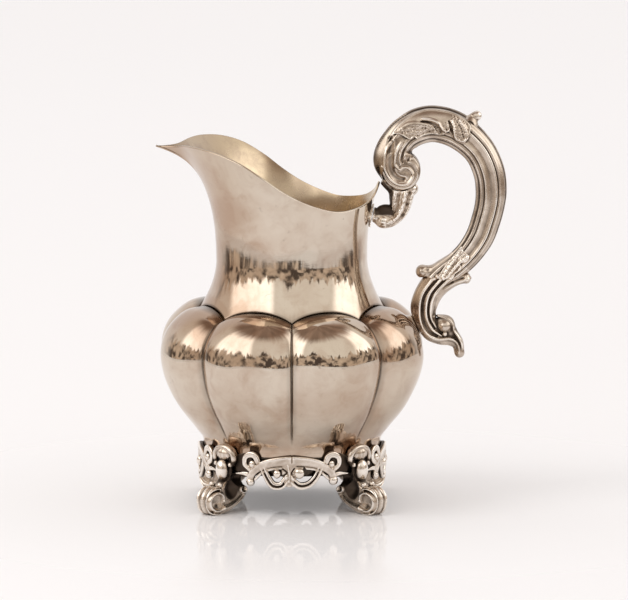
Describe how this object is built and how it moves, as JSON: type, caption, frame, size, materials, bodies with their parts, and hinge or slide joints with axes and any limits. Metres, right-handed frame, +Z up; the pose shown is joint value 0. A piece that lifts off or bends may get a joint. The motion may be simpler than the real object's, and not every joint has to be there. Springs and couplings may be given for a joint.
{
  "type": "cream jug",
  "caption": "Small lobed silver cream jug on scroll feet, with a waisted neck, a pointed pouring lip and a cast scroll handle.",
  "frame": {"origin": "middle of the footprint's bounding box, on the level the four feet stand on", "axes": "+Z up, +X towards the handle with the spout pointing along -X, +Y towards the jug's right-hand side"},
  "size_m": [0.123, 0.0918, 0.1403],
  "materials": {
    "raised_silver": "hand-polished silver sheet, soft scratches and a thin warm tarnish, gilt on the inside",
    "cast_silver": "cast and chased silver with blackened recesses and rubbed bright edges"
  },
  "bodies": {
    "root": {"belly": "raised_silver", "neck": "raised_silver", "base_disc": "raised_silver", "base_ring": "raised_silver", "apron_left": "cast_silver", "apron_handle": "cast_silver", "apron_right": "cast_silver", "apron_spout": "cast_silver", "foot_handle_right": "cast_silver", "foot_spout_right": "cast_silver", "foot_spout_left": "cast_silver", "foot_handle_left": "cast_silver", "handle_grip_left": "cast_silver", "handle_grip_right": "cast_silver", "handle_knuckle": "cast_silver", "handle_tail": "cast_silver", "handle_bracket": "cast_silver", "thumb_spur": "cast_silver", "neck_pad": "cast_silver", "belly_pad": "cast_silver"}
  },
  "joints": []
}
